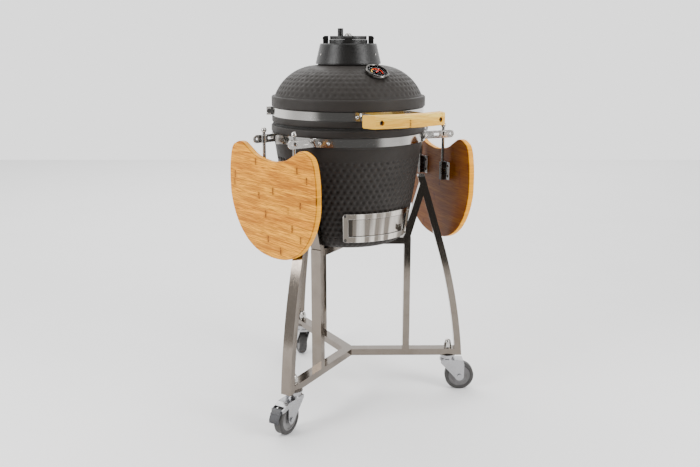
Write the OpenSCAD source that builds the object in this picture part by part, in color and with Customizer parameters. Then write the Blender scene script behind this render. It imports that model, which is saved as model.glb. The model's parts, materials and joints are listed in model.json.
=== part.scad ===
// Kamado ceramic grill on a three-legged steel cart.
// Millimetres, origin on the floor under the bowl axis, +Z up, the draft door faces -Y.

/* [Cart] */
// height of the bottom beams' lower face above the floor
beam_z = 103; // [96:1:120]
// tube width across the leg panel
tube_w = 28; // [20:1:32]
// tube depth in the plane of the leg panel
tube_d = 18; // [14:1:20]
// tube wall thickness
tube_wall = 1.5; // [1:0.1:2.5]
// radius of the outer legs' curve
leg_curve = 1500; // [1300:10:2000]
// outer radius at the foot of the legs
foot_r = 314; // [305:1:325]

/* [Casters] */
// wheel diameter
wheel_d = 80; // [72:1:84]
// distance of the swivel axes from the bowl axis
swivel_r = 276.8; // [270:0.1:282]
// trail of the wheel axle behind the swivel axis
trail = 34; // [30:1:36]

/* [Bowl and dome] */
// height of the bowl's flat bottom
bowl_z = 440; // [438:1:445]
// height of the bowl's rim
rim_z = 745; // [740:1:748]
// outer radius of the bowl's lip
lip_r = 200; // [199:0.5:202]
// wall thickness of the bowl
bowl_wall = 28; // [22:1:30]
// wall thickness of the dome
dome_wall = 25; // [20:1:28]
// angle of the draft door behind the front, in degrees either side
door_half = 31; // [28:0.5:31]

/* [Shelves] */
// distance from the bowl axis to the left board's outer face
left_reach = 257.2; // [257:0.2:262]
// distance from the bowl axis to the right board's outer face
right_reach = 267.3; // [256:0.1:270]
// board thickness
board_t = 16; // [14:1:16]
// half distance between the two rods of a shelf
rod_half = 64.5; // [60:0.5:68]

/* [Handle] */
// bar height
bar_h = 30; // [26:1:34]
// bar thickness
bar_t = 34; // [28:1:36]

/* [Hidden] */
$fn = 48;
steel = [0.62, 0.59, 0.55];
bright = [0.82, 0.81, 0.79];
ceramic = [0.27, 0.265, 0.26];
felt = [0.05, 0.05, 0.05];
iron = [0.16, 0.155, 0.15];
bamboo = [0.84, 0.63, 0.36];
black = [0.06, 0.06, 0.06];
clay = [0.70, 0.64, 0.55];
tyre_grey = [0.25, 0.24, 0.24];
wheel_grey = [0.66, 0.65, 0.66];

leg_angles = [-60, 60, 180];
beam_top = beam_z + tube_d;
arm_top = bowl_z;
arm_z = arm_top - tube_d;
post_in = 150;
post_out = post_in + tube_d;
leg_top = 605;
foot_lean = 4;
leg_lean = 16.5;
curve_x = foot_r - leg_curve * cos(foot_lean);
curve_z = beam_z - leg_curve * sin(foot_lean);
bend_r = curve_x + leg_curve * cos(leg_lean);
bend_z = curve_z + leg_curve * sin(leg_lean);
diag_r = 147.5;
diag_lean = 16;
cap_h = 4.5;

caster_trails = [-62, 59, 165];
axle_z = wheel_d / 2;
axle_r = 4;
king_r = 5;
race_r = 22;
fork_z = 84.5;
plate_t = 2.5;
fork_in = 14.5;
brake_y = 13;
brake_x = trail + 34;
brake_z = 74;

corner_r = 40;
corner_cr = 117;
corner_end = 78;
side_r = 8000;
shoulder_r = 192.5;
shoulder_z = 700;
band_h = 21;
band_t = 2.3;
bowl_band_r = 195.4;
bowl_band_z = 705;
dome_z = 752;
dome_lip_r = 198;
dome_band_r = 193;
dome_band_z = 767.5;
collar_z = 791;
dome_cr = 79;
dome_cz = 774;
dome_r = 119.2;
neck_r = 62;
gasket_t = 3.2;

vent_z = 896.5;
vent_top = 947.3;
disc_z = 956.8;
vent_screw_angles = [-91, 29, 149];
screen_z = 470;

door_z = 474;
door_h = 54;
frame_bot = 463;
frame_top = 537;
frame_r = 158.5;
frame_slope = 10.5 / (frame_top - frame_bot);

hinge_y = 232;
hinge_z = 750;
pin_r = 4;

shelf_beta = 81;
shelf_shift = 12;
pivot_z = 716;
rod_gap = 12;
rod_r = 4;
plate_off = rod_half + 10.5;
board_bot = 426.9;

bow_r = 370;
bow_y = 70;
bar_z = 760;

thermo_tilt = 61;
thermo_r = dome_cr + dome_r * cos(thermo_tilt);
thermo_z = dome_cz + dome_r * sin(thermo_tilt);

// ---- placing and repeated shapes ----

// child drawn with +X outward is turned to face the angle b, measured from the front
module at_beta(b) {
    rotate([0, 0, b - 90]) children();
}

// plane outline (radius, height) given a width across the radial plane
module radial_plate(w) {
    rotate([90, 0, 0]) linear_extrude(w, center = true) children();
}

// cylinder along +X
module rod_x(r, length) {
    rotate([0, 90, 0]) cylinder(r = r, h = length);
}

// cylinder along Y, centred
module rod_y(r, length) {
    rotate([90, 0, 0]) cylinder(r = r, h = length, center = true);
}

// ring sector about Z between two angles from the front
module sector(r0, r1, z0, h, b0, b1) {
    rotate([0, 0, b0 - 90]) rotate_extrude(angle = b1 - b0, $fn = 180)
        translate([r0, z0]) square([r1 - r0, h]);
}

// bolt along +X with a hexagon head at head_x and a low dome, its shank from x = 0
module acorn_x(head_x, r) {
    rotate([0, 90, 0]) {
        cylinder(r = r, h = head_x + 1);
        translate([0, 0, head_x]) cylinder(r = r * 1.9, h = r * 1.1, $fn = 6);
        translate([0, 0, head_x + r * 1.05]) rotate_extrude($fn = 32) intersection() {
            translate([0, -r * 0.1]) circle(r = r * 1.5);
            square(r * 2);
        }
    }
}

// pan head screw along +X, shank from x = 0 to head_x
module pan_x(length, r) {
    rod_x(r, length + 0.5);
    translate([length, 0, 0]) rod_x(r * 2, r * 0.7);
    translate([length + r * 0.7, 0, 0]) rod_x(r * 1.5, r * 0.4);
}

// ---- cart ----

// outline of the curved outer leg, drawn g inside its outer faces
module outer_leg_outline(g) {
    intersection() {
        translate([curve_x, curve_z]) difference() {
            circle(r = leg_curve - g, $fn = 720);
            circle(r = leg_curve - tube_d + g, $fn = 720);
        }
        translate([200, beam_z + g]) square([200, bend_z - beam_z - g]);
    }
    translate([bend_r, bend_z]) rotate([0, 0, leg_lean]) intersection() {
        translate([-tube_d + g, -8]) square([tube_d - 2 * g, 260]);
        rotate([0, 0, -leg_lean]) translate([-120, 0]) square([240, leg_top - bend_z + g]);
    }
}

module beam_outline(g, from) {
    translate([from, beam_z + g]) square([foot_r - 12 - from, tube_d - 2 * g]);
}

module post_outline(g) {
    translate([post_in + g, beam_top]) square([tube_d - 2 * g, arm_z - beam_top]);
}

module arm_outline(g, from) {
    translate([from, arm_z + g]) square([post_out - g - from, tube_d - 2 * g]);
}

// inner diagonal, cut off by the inner face of the outer leg
module diag_outline(g) {
    difference() {
        translate([diag_r, arm_top]) rotate([0, 0, -diag_lean]) intersection() {
            translate([g, -8]) square([tube_d - 2 * g, 200]);
            rotate([0, 0, diag_lean]) translate([-20, 0]) square([100, 200]);
        }
        translate([bend_r, bend_z]) rotate([0, 0, leg_lean])
            translate([-tube_d, -60]) square([200, 400]);
    }
}

// plan of what a beam keeps at the hub: back and left beams meet in a mitre, the right one is cut square
module hub_plan(kind) {
    cut = tube_w / 2 / tan(60);
    if (kind == 1) {
        translate([cut, -tube_w / 2]) square([400, tube_w]);
    } else {
        side = kind == 0 ? 1 : -1;
        difference() {
            translate([-40, -tube_w / 2]) square([440, tube_w]);
            rotate([0, 0, side * 120]) translate([cut, -100]) square([100, 200]);
            rotate([0, 0, side * -60]) translate([-100, side > 0 ? -200 : 0]) square([200, 200]);
        }
    }
}

module leg(kind) {
    difference() {
        radial_plate(tube_w) {
            outer_leg_outline(0);
            beam_outline(0, -40);
            post_outline(0);
            arm_outline(0, -40);
            diag_outline(0);
        }
        radial_plate(tube_w - 2 * tube_wall) {
            outer_leg_outline(tube_wall);
            beam_outline(tube_wall, 24);
            post_outline(tube_wall);
            arm_outline(tube_wall, 24);
            diag_outline(tube_wall);
        }
        linear_extrude(arm_top + 10) difference() {
            translate([-60, -60]) square([110, 120]);
            hub_plan(kind);
        }
        translate([swivel_r, 0, beam_z - 1]) cylinder(r = king_r + 0.2, h = tube_d + 2);
    }
}

module leg_front_left() {
    color(steel) at_beta(leg_angles[0]) leg(0);
}

module leg_front_right() {
    color(steel) at_beta(leg_angles[1]) leg(1);
}

module leg_back() {
    color(steel) at_beta(leg_angles[2]) leg(2);
}

module leg_top_caps() {
    top_r = bend_r - (leg_top - bend_z) * tan(leg_lean);
    depth = tube_d / cos(leg_lean);
    color(bright) for (b = leg_angles) at_beta(b) {
        translate([top_r - depth + 0.3, -tube_w / 2, leg_top])
            cube([depth - 0.6, tube_w, cap_h - 1.5]);
        translate([top_r - depth + 1.5, -tube_w / 2 + 1.5, leg_top])
            cube([depth - 4, tube_w - 3, cap_h]);
    }
}

// ---- casters ----

module caster_spots() {
    for (b = leg_angles) at_beta(b) translate([swivel_r, 0, 0]) children();
}

module caster_stems() {
    color(bright) caster_spots() {
        translate([0, 0, beam_z - 3.5]) cylinder(r = race_r, h = 3.5);
        translate([0, 0, fork_z - 4.5]) cylinder(r = 8.5, h = 4);
        translate([0, 0, fork_z - 2]) cylinder(r = king_r, h = beam_top + 14 - fork_z);
    }
}

module caster_nuts() {
    color(steel) caster_spots() difference() {
        union() {
            translate([0, 0, beam_top]) cylinder(r = 10.5, h = 1.5);
            translate([0, 0, beam_top + 1.5]) cylinder(r = 9.8, h = 12, $fn = 6);
            intersection() {
                translate([0, 0, beam_top + 16]) sphere(r = 8.6);
                translate([-10, -10, beam_top + 12]) cube([20, 20, 20]);
            }
        }
        translate([0, 0, beam_top - 1]) cylinder(r = king_r + 0.1, h = 15.1);
    }
}

// a caster's own frame: swivel axis at the origin, wheel trailing along +X
module at_caster(i) {
    at_beta(leg_angles[i]) translate([swivel_r, 0, 0])
        rotate([0, 0, caster_trails[i] - leg_angles[i]]) children();
}

module fork_side() {
    polygon([[-19, fork_z + 3], [-19, fork_z - 5], [trail - 11.5, axle_z - 5],
        [trail, axle_z], [trail + 12.5, axle_z], [trail + 12.5, fork_z - 9],
        [trail + 9, fork_z + 3]]);
    translate([trail, axle_z]) circle(r = 12.5);
}

module fork(i, braked) {
    color(bright) at_caster(i) {
        for (side = [-1, 1])
            translate([0, side * (fork_in + plate_t / 2), 0]) radial_plate(plate_t) fork_side();
        difference() {
            union() {
                translate([-19, -fork_in - 1, fork_z]) cube([trail + 28, 2 * fork_in + 2, 3]);
                translate([0, 0, fork_z]) cylinder(r = race_r - 1, h = 6);
                translate([0, 0, fork_z + 5]) cylinder(r = race_r - 4, h = beam_z - 4 - fork_z - 5);
            }
            translate([0, 0, fork_z - 1]) cylinder(r = king_r + 0.05, h = 30);
        }
        translate([trail, 0, axle_z]) {
            rod_y(axle_r, 2 * fork_in + 2);
            for (side = [-1, 1])
                translate([0, side * (fork_in + plate_t + 1.4), 0]) rod_y(6.5, 3);
        }
        if (braked) {
            for (side = [-1, 1])
                translate([0, side * (fork_in + plate_t / 2), 0]) radial_plate(plate_t)
                    polygon([[20, fork_z + 3], [trail + 6, fork_z + 3], [brake_x + 5, brake_z + 4],
                        [brake_x + 5, brake_z - 4], [brake_x - 6, brake_z - 4],
                        [trail + 8, brake_z], [20, brake_z]]);
            radial_plate(2 * fork_in + 1)
                polygon([[trail + 6, fork_z + 0.5], [trail + 6, fork_z + 3],
                    [brake_x - 8, brake_z + 8], [brake_x - 8, brake_z + 5.5]]);
            translate([brake_x, 0, brake_z]) rod_y(2.5, 2 * fork_in + 1);
        }
    }
}

module wheel(i) {
    color(wheel_grey) at_caster(i) translate([trail, 0, axle_z]) difference() {
        union() {
            rod_y(30, 20);
            rod_y(10, 26);
        }
        rod_y(axle_r + 0.05, 40);
        for (side = [-1, 1]) translate([0, side * 10, 0]) difference() {
            rod_y(25, 3);
            rod_y(14, 4);
        }
    }
}

module tyre(i) {
    color(tyre_grey) at_caster(i) translate([trail, 0, axle_z])
        rotate([90, 0, 0]) rotate_extrude($fn = 96) {
            translate([30, -12]) square([wheel_d / 2 - 34, 24]);
            translate([wheel_d / 2 - 5, -9]) square([5, 18]);
            translate([wheel_d / 2 - 5, -8]) circle(r = 4);
            translate([wheel_d / 2 - 5, 8]) circle(r = 4);
        }
}

module fork_front_left() { fork(0, true); }
module wheel_front_left() { wheel(0); }
module tyre_front_left() { tyre(0); }
module fork_front_right() { fork(1, false); }
module wheel_front_right() { wheel(1); }
module tyre_front_right() { tyre(1); }
module fork_back() { fork(2, false); }
module wheel_back() { wheel(2); }
module tyre_back() { tyre(2); }

// foot pedal of the front left caster: a steel lever over the tyre with a black pad
module brake_front_left() {
    color(black) at_caster(0) translate([brake_x, 0, brake_z]) difference() {
        union() {
            radial_plate(2 * brake_y) {
                circle(r = 4);
                polygon([[-1, 3.9], [7, 2], [15, -7], [20, -18], [20.5, -27], [17, -27],
                    [15.5, -18], [10, -9.5], [1, -3.9]]);
            }
            for (k = [0:3])
                translate([13 + 2.1 * k, 0, -5 - 5.2 * k]) rod_y(1.5, 2 * brake_y);
        }
        rod_y(2.55, 40);
    }
}

// ---- bowl ----

// angle of the side arc's chord and centre, from the corner arc's end to the shoulder
corner_x = corner_cr + corner_r * sin(corner_end);
corner_z = bowl_z + corner_r - corner_r * cos(corner_end);
chord_x = shoulder_r - corner_x;
chord_z = shoulder_z - corner_z;
chord = sqrt(chord_x * chord_x + chord_z * chord_z);
side_sag = chord * chord / 8 / side_r;

// outer radius of the bowl's side at height z
function side_at(z) = corner_x + chord_x * (z - corner_z) / chord_z
    + 4 * side_sag * (z - corner_z) / chord_z * (1 - (z - corner_z) / chord_z);

module bowl_outline() {
    side = [for (k = [0:8]) let (z = corner_z + chord_z * k / 8) [side_at(z), z]];
    polygon(concat([[0, bowl_z], [corner_cr, bowl_z]],
        [for (a = [13:13:65]) [corner_cr + corner_r * sin(a), bowl_z + corner_r * (1 - cos(a))]],
        side,
        [[bowl_band_r, shoulder_z + 3.5], [bowl_band_r, bowl_band_z + band_h + 1.5],
        [lip_r - 1.5, bowl_band_z + band_h + 2], [lip_r, bowl_band_z + band_h + 4],
        [lip_r, rim_z - 3], [lip_r - 3, rim_z], [0, rim_z]]));
}

module bowl_hollow() {
    side = [for (k = [0:6]) let (z = corner_z + 6 + (shoulder_z - corner_z) * k / 6)
        [side_at(z) - bowl_wall * 1.01, z]];
    polygon(concat([[0, bowl_z + bowl_wall], [corner_cr - 2, bowl_z + bowl_wall]],
        side, [[168, rim_z - 4], [170, rim_z + 1], [0, rim_z + 1]]));
}

module bowl() {
    color(ceramic) difference() {
        rotate_extrude($fn = 180) difference() {
            bowl_outline();
            bowl_hollow();
        }
        sector(100, 190, screen_z, 61, -29, 29);
        draft_screw_spots() translate([-0.5, 0, 0]) rod_x(1.7, 20);
    }
}

module bowl_gasket() {
    color(felt) sector(176, 196, rim_z, gasket_t, 0, 360);
}

module fire_box() {
    color(clay) difference() {
        rotate_extrude($fn = 120) difference() {
            polygon([[0, bowl_z + 32], [114, bowl_z + 32], [140, 590], [0, 590]]);
            polygon([[0, bowl_z + 46], [96, bowl_z + 46], [98, 512], [108, 512],
                [122, 591], [0, 591]]);
        }
        sector(80, 150, bowl_z + 50, 45, -24, 24);
        for (a = [0:60:300]) rotate([0, 0, a]) translate([52, 0, bowl_z]) cylinder(r = 7, h = 60);
        for (a = [30:60:330]) rotate([0, 0, a]) translate([80, 0, 560]) rod_x(7, 80);
    }
}

module fire_ring() {
    color(clay) rotate_extrude($fn = 120) polygon([[123, 590.3], [141, 590.3], [155, 690],
        [141, 690], [137, 640], [127, 640]]);
}

module charcoal_grate() {
    color(iron) difference() {
        translate([0, 0, 512]) cylinder(r = 106, h = 6, $fn = 96);
        for (ring = [1:3], k = [0:ring * 6 - 1])
            rotate([0, 0, k * 60 / ring]) translate([ring * 30, 0, 500]) cylinder(r = 6, h = 30);
        translate([0, 0, 500]) cylinder(r = 6, h = 30);
    }
}

module cooking_grid() {
    color(bright) translate([0, 0, 693.2]) {
        rotate_extrude($fn = 120) translate([148, 0]) circle(r = 3, $fn = 24);
        for (x = [-130:20:130])
            translate([x, 0, 0]) rod_y(2.4, 2 * sqrt(148 * 148 - x * x));
    }
}

// steel band with its ends turned out at the clamp angle
module band(r, z, h, clamp) {
    difference() {
        sector(r, r + band_t, z, h, 0, 360);
        at_beta(clamp) translate([r - 5, -5, z - 1]) cube([20, 10, h + 2]);
    }
    at_beta(clamp) for (side = [-1, 1])
        translate([r, side > 0 ? 5 - band_t : -5, z]) difference() {
            cube([19, band_t, h]);
            translate([12, -1, h / 2]) rotate([-90, 0, 0]) cylinder(r = 3.2, h = band_t + 2);
        }
}

// bolt and nut through the turned out band ends
module clamp_bolt(r, z, h, clamp) {
    at_beta(clamp) translate([r + 12, 0, z + h / 2]) {
        rod_y(3, 22);
        translate([0, -9.1, 0]) rod_y(5.5, 4);
        translate([0, 9.5, 0]) rotate([90, 0, 0]) cylinder(r = 6, h = 5, center = true, $fn = 6);
    }
}

bowl_clamp = -86;
dome_clamp = -118;

// angles of the shelf arm plates and of their bolts, from the shelf's own direction
front_arm = asin((plate_off + shelf_shift) / (bowl_band_r + band_t));
back_arm = asin((plate_off - shelf_shift) / (bowl_band_r + band_t));
arm_bolt_angles = [front_arm + 4.9, front_arm + 10.9, -back_arm - 4.9, -back_arm - 10.9];
band_mid = bowl_band_z + band_h / 2;

module bowl_band() {
    color(bright) difference() {
        band(bowl_band_r, bowl_band_z, band_h, bowl_clamp);
        for (side = [-1, 1], a = arm_bolt_angles)
            at_beta(side * (shelf_beta - a)) translate([bowl_band_r - 1, 0, band_mid]) rod_x(3.1, 8);
        for (x = [-20, 20]) translate([x, hinge_y - 60, band_mid - 1]) rotate([-90, 0, 0])
            cylinder(r = 3.1, h = 40);
    }
}

module bowl_band_bolts() {
    color(bright) {
        clamp_bolt(bowl_band_r, bowl_band_z, band_h, bowl_clamp);
        for (x = [-20, 20]) translate([x, 195.4, band_mid - 1]) rotate([0, 0, 90])
            acorn_x(6.2, 3);
    }
}

// ---- shelf arms on the lower band ----

// left shelf's frame: +X outward, +Y towards the front
module at_left() {
    at_beta(-shelf_beta) children();
}

module at_right() {
    mirror([1, 0, 0]) at_left() children();
}

arm_h = 20.4;
arm_past = 15;

module arm(reach, along, from, to) {
    inner = bowl_band_r + band_t;
    pivot = reach - board_t - rod_gap;
    arm_foot(inner + 0.1, inner + 3.1, from, to);
    translate([0, along, 0]) radial_plate(3) difference() {
        union() {
            start = sqrt(inner * inner - along * along) + 1.6;
            translate([start, band_mid - arm_h / 2])
                square([pivot + arm_past - start, arm_h]);
            translate([pivot + arm_past, band_mid]) circle(r = arm_h / 2);
        }
        translate([pivot, pivot_z]) circle(r = 3.05);
        translate([pivot - 34, pivot_z - 3]) square([16, 6]);
        translate([pivot + arm_past, pivot_z]) circle(r = 3);
    }
}

// foot of a shelf arm, curved round the band
module arm_foot(r0, r1, from, to) {
    rotate([0, 0, from]) rotate_extrude(angle = to - from, $fn = 180)
        translate([r0, band_mid - arm_h / 2]) square([r1 - r0, arm_h]);
}

module arm_pair(reach) {
    difference() {
        union() {
            arm(reach, shelf_shift + plate_off, front_arm - 0.4, front_arm + 14);
            arm(reach, shelf_shift - plate_off, -back_arm - 14, -back_arm + 0.4);
        }
        for (a = arm_bolt_angles) rotate([0, 0, a]) translate([190, 0, band_mid]) rod_x(3.2, 20);
    }
}

module shelf_arms() {
    color(bright) {
        at_left() arm_pair(left_reach);
        at_right() arm_pair(right_reach);
    }
}

module shelf_arm_bolts() {
    color(bright) for (side = [-1, 1], a = arm_bolt_angles)
        at_beta(side * (shelf_beta - a)) translate([bowl_band_r + 0.3, 0, band_mid])
            acorn_x(5.2, 3);
}

// ---- draft door ----

// cone shell between two offsets from the door frame's face, over heights and angles
module draft_shell(o0, o1, z0, z1, b0, b1) {
    f0 = frame_r + (z0 - frame_bot) * frame_slope;
    f1 = frame_r + (z1 - frame_bot) * frame_slope;
    rotate([0, 0, b0 - 90]) rotate_extrude(angle = b1 - b0, $fn = 180)
        polygon([[f0 + o0, z0], [f0 + o1, z0], [f1 + o1, z1], [f1 + o0, z1]]);
}

module draft_screw_spots() {
    for (b = [-33.2, 33.2], z = [frame_bot + 5, frame_top - 5])
        at_beta(b) translate([frame_r + (z - frame_bot) * frame_slope - 9, 0, z]) children();
}

// what is cut away to round the frame's four corners
module frame_corners() {
    round_r = 6;
    half = 35 - asin(round_r / frame_r);
    for (side = [-1, 1], up = [0, 1]) at_beta(side * half) difference() {
        translate([frame_r - 20, side > 0 ? 0 : -20, up ? frame_top - round_r : frame_bot - 20])
            cube([50, 20, 20 + round_r]);
        translate([frame_r - 21, 0, up ? frame_top - round_r : frame_bot + round_r])
            rod_x(round_r, 60);
        }
}

module draft_frame() {
    rail = 3.9;
    color(bright) difference() {
        draft_shell(-1.8, rail, frame_bot, frame_top, -35, 35);
        draft_shell(-5, 8, door_z + 4, door_z + door_h - 4, -27.5, 27.5);
        draft_shell(0, 2.3, door_z - 0.4, door_z + door_h + 0.4, -36, door_half + 0.3);
        draft_shell(1, 8, door_z + 4, door_z + door_h - 4, -door_half + 0.5, door_half - 0.5);
        draft_screw_spots() rod_x(1.7, 20);
        frame_corners();
    }
}

module draft_frame_screws() {
    color(steel) draft_screw_spots() {
        rod_x(1.6, 13.9);
        translate([13.6, 0, 0]) rod_x(3.4, 1.8);
    }
}

module draft_screen() {
    color(bright) difference() {
        draft_shell(-4.4, -3.2, screen_z + 2, screen_z + 59, -28, 28);
        for (row = [0:3], k = [-5:5])
            at_beta(4.6 * k + (row % 2) * 2.3 - 1.15)
                translate([140, 0, screen_z + 12 + 12 * row]) rod_x(2.6, 30);
    }
}

module draft_door() {
    color(bright) {
        difference() {
            draft_shell(0.4, 1.8, door_z, door_z + door_h, -door_half, door_half);
            draft_shell(-2, 5, door_z + 6, door_z + door_h - 6, door_half - 2.5, door_half - 1.5);
        }
        draft_shell(1, 4, door_z + 7, door_z + 21, 20.5, 27);
        draft_shell(3, 13, door_z + 7, door_z + 21, 20.5, 21.2);
    }
}

// ---- hinge ----

module ear_outline(from_y, z0, z1) {
    difference() {
        union() {
            polygon([[from_y, z0], [from_y, z1], [hinge_y - 4, hinge_z + 9.2],
                [hinge_y + 9, hinge_z + 4], [hinge_y + 6, hinge_z - 8]]);
            translate([hinge_y, hinge_z]) circle(r = 10);
        }
        translate([hinge_y, hinge_z]) circle(r = pin_r + 0.05);
    }
}

// plate in the YZ plane centred on x
module yz_plate(x, w) {
    translate([x, 0, 0]) rotate([90, 0, 90]) linear_extrude(w, center = true) children();
}

module hinge_lower_bracket() {
    back = bowl_band_r + band_t + 0.3;
    color(bright) difference() {
        union() {
            translate([-32, back, bowl_band_z - 4]) cube([64, 3, band_h + 5]);
            for (x = [-31, 31]) yz_plate(x, 3)
                ear_outline(back + 1, bowl_band_z - 4, bowl_band_z + band_h + 1);
        }
        for (x = [-20, 20]) translate([x, back - 2, band_mid - 1]) rotate([-90, 0, 0])
            cylinder(r = 3.2, h = 8);
    }
}

module hinge_pin() {
    color(bright) translate([0, hinge_y, hinge_z]) {
        translate([-36, 0, 0]) rod_x(pin_r, 72);
        translate([-36.5, 0, 0]) rod_x(6.5, 3);
        translate([33.5, 0, 0]) rod_x(6.5, 3);
    }
}

module hinge_upper_bracket() {
    back = dome_band_r + band_t + 0.3;
    color(bright) difference() {
        union() {
            translate([-28, back, dome_band_z + 1]) cube([56, 3, band_h - 2]);
            for (x = [-26.5, 26.5]) yz_plate(x, 3)
                ear_outline(back + 1, dome_band_z + 1, dome_band_z + band_h - 1);
        }
        for (x = [-16, 16]) translate([x, back - 2, dome_band_z + band_h / 2])
            rotate([-90, 0, 0]) cylinder(r = 3.2, h = 8);
    }
}

// ---- dome ----

collar_step = 816;
dome_a0 = acos((190 - dome_cr) / dome_r);

module dome_outline() {
    polygon(concat([[0, dome_z], [dome_lip_r - 2, dome_z], [dome_lip_r, dome_z + 2.5],
        [dome_lip_r, dome_band_z - 2.5], [dome_band_r, dome_band_z - 0.5],
        [dome_band_r, dome_band_z + band_h + 0.5], [198.5, collar_z], [198.5, collar_step]],
        [for (k = [0:12]) let (a = dome_a0 + (88 - dome_a0) * k / 12)
            [dome_cr + dome_r * cos(a), dome_cz + dome_r * sin(a)]],
        [[dome_cr, vent_z - 1], [0, vent_z - 1]]));
}

module dome_hollow() {
    inner = dome_r - dome_wall;
    polygon(concat([[0, dome_z - 1], [dome_lip_r - dome_wall, dome_z - 1],
        [dome_lip_r - dome_wall - 1, dome_z + 30]],
        [for (a = [10:10:80]) [dome_cr + inner * cos(a) , dome_cz + inner * sin(a)]],
        [[neck_r, dome_cz + inner], [neck_r, vent_z + 1], [0, vent_z + 1]]));
}

module at_thermometer() {
    at_beta(0) translate([thermo_r, 0, thermo_z]) rotate([0, 90 - thermo_tilt, 0]) children();
}

module dome() {
    color(ceramic) difference() {
        rotate_extrude($fn = 180) difference() {
            dome_outline();
            dome_hollow();
        }
        at_thermometer() translate([0, 0, -45]) cylinder(r = 5, h = 60);
    }
}

module dome_gasket() {
    color(felt) sector(176, 195, dome_z - gasket_t, gasket_t, 0, 360);
}

dome_mid = dome_band_z + band_h / 2;
foot_bolts = [-24.4, 15.6];

module dome_band() {
    color(bright) difference() {
        band(dome_band_r, dome_band_z, band_h, dome_clamp);
        for (b = foot_bolts) at_beta(b) translate([dome_band_r - 1, 0, dome_mid]) rod_x(3.1, 8);
        for (x = [-16, 16]) translate([x, 180, dome_mid]) rotate([-90, 0, 0])
            cylinder(r = 3.1, h = 30);
    }
}

module dome_band_bolts() {
    color(bright) {
        clamp_bolt(dome_band_r, dome_band_z, band_h, dome_clamp);
        for (b = foot_bolts) at_beta(b) translate([dome_band_r + 0.2, 0, dome_mid])
            acorn_x(5.4, 3);
        for (x = [-16, 16]) translate([x, 193.2, dome_mid]) rotate([0, 0, 90])
            acorn_x(5.7, 3);
    }
}

// ---- handle ----

module at_bow() {
    translate([0, bow_y, 0]) children();
}

module handle_bar() {
    corner = 4;
    inner = bow_r - bar_t;
    color(bamboo) difference() {
        at_bow() rotate([0, 0, -112]) rotate_extrude(angle = 44, $fn = 240)
            translate([inner, bar_z]) {
                translate([corner, 0]) square([bar_t - 2 * corner, bar_h]);
                translate([0, corner]) square([bar_t, bar_h - 2 * corner]);
                for (x = [corner, bar_t - corner], y = [corner, bar_h - corner])
                    translate([x, y]) circle(r = corner);
            }
        for (side = [-1, 1]) {
            translate([side * 97, -287, bar_z - 1]) rotate([0, 0, side > 0 ? -16 : 16])
                translate([side > 0 ? 0 : -60, -60, 0]) cube([60, 140, bar_h + 2]);
            translate([side * 82, -200, bar_z + bar_h / 2 - 1]) rotate([90, 0, 0])
                cylinder(r = 3.4, h = 120);
            translate([side * 82, -279, bar_z + bar_h / 2 - 1]) rotate([90, 0, 0])
                cylinder(r = 5.8, h = 40);
        }
    }
}

// bracket foot on the band, straight leg, and flange behind the bar
module handle_bracket(x, foot_from, foot_to, flange_from, flange_to) {
    band_out = dome_band_r + band_t;
    z = dome_band_z + 1;
    h = band_h - 2;
    back = bow_r - bar_t;
    sector(band_out + 0.1, band_out + 3, z, h, foot_from, foot_to);
    near = -sqrt(pow(band_out + 1.5, 2) - x * x);
    far = bow_y - sqrt(pow(back - 1.5, 2) - x * x);
    translate([x - 1.5, far, z]) cube([3, near - far, h]);
    at_bow() sector(back - 3, back - 0.05, z, h, flange_from, flange_to);
}

module handle_brackets() {
    color(bright) difference() {
        union() {
            handle_bracket(-72, -27.5, -21.2, -16.6, -12.1);
            handle_bracket(62, 12.6, 18.9, 10.3, 16.6);
        }
        for (b = foot_bolts) at_beta(b) translate([dome_band_r, 0, dome_mid]) rod_x(3.2, 8);
        for (x = [-82, 82]) translate([x, -240, bar_z + bar_h / 2 - 1]) rotate([90, 0, 0])
            cylinder(r = 3.3, h = 20);
    }
}

module handle_screws() {
    color(black) for (x = [-82, 82]) translate([x, 0, bar_z + bar_h / 2 - 1]) rotate([90, 0, 0]) {
        translate([0, 0, 243]) cylinder(r = 3, h = 40);
        difference() {
            translate([0, 0, 279.2]) cylinder(r = 5.3, h = 6);
            translate([0, 0, 282]) cylinder(r = 2.6, h = 6, $fn = 6);
        }
        translate([0, 0, 246]) cylinder(r = 5.6, h = 5, $fn = 6);
    }
}

// ---- vent ----

module daisy(z, h) {
    for (a = [0:72:288]) rotate([0, 0, a]) translate([29, 0, z]) cylinder(r = 9.5, h = h);
}

module vent_chimney() {
    color(iron) difference() {
        union() {
            rotate_extrude($fn = 120) polygon([[neck_r + 2, vent_z], [83.5, vent_z],
                [83.5, vent_z + 3], [72.6, vent_top - 2], [71, vent_top], [49, vent_top],
                [49, disc_z - 0.4], [0, disc_z - 0.4], [0, vent_top - 2], [44, vent_top - 4],
                [64, vent_top - 6], [74, vent_z + 6]]);
            for (a = [59.5:90:330]) at_beta(a) radial_plate(18) {
                translate([51, vent_top - 1]) square([13.5, 14]);
                translate([51, vent_top + 12]) square([9, 7]);
                translate([59.5, vent_top + 12.5]) intersection() {
                    circle(r = 6);
                    translate([-2, -2]) square([8, 8]);
                }
            }
        }
        daisy(vent_top - 10, 30);
        translate([0, 0, vent_top - 10]) cylinder(r = 3, h = 30);
        for (b = vent_screw_angles) at_beta(b) translate([60, 0, vent_z + 24]) rod_x(2.2, 40);
    }
}

module vent_screws() {
    color(bright) for (b = vent_screw_angles) at_beta(b)
        translate([70, 0, vent_z + 24]) rod_x(2.1, 9.6);
}

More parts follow.
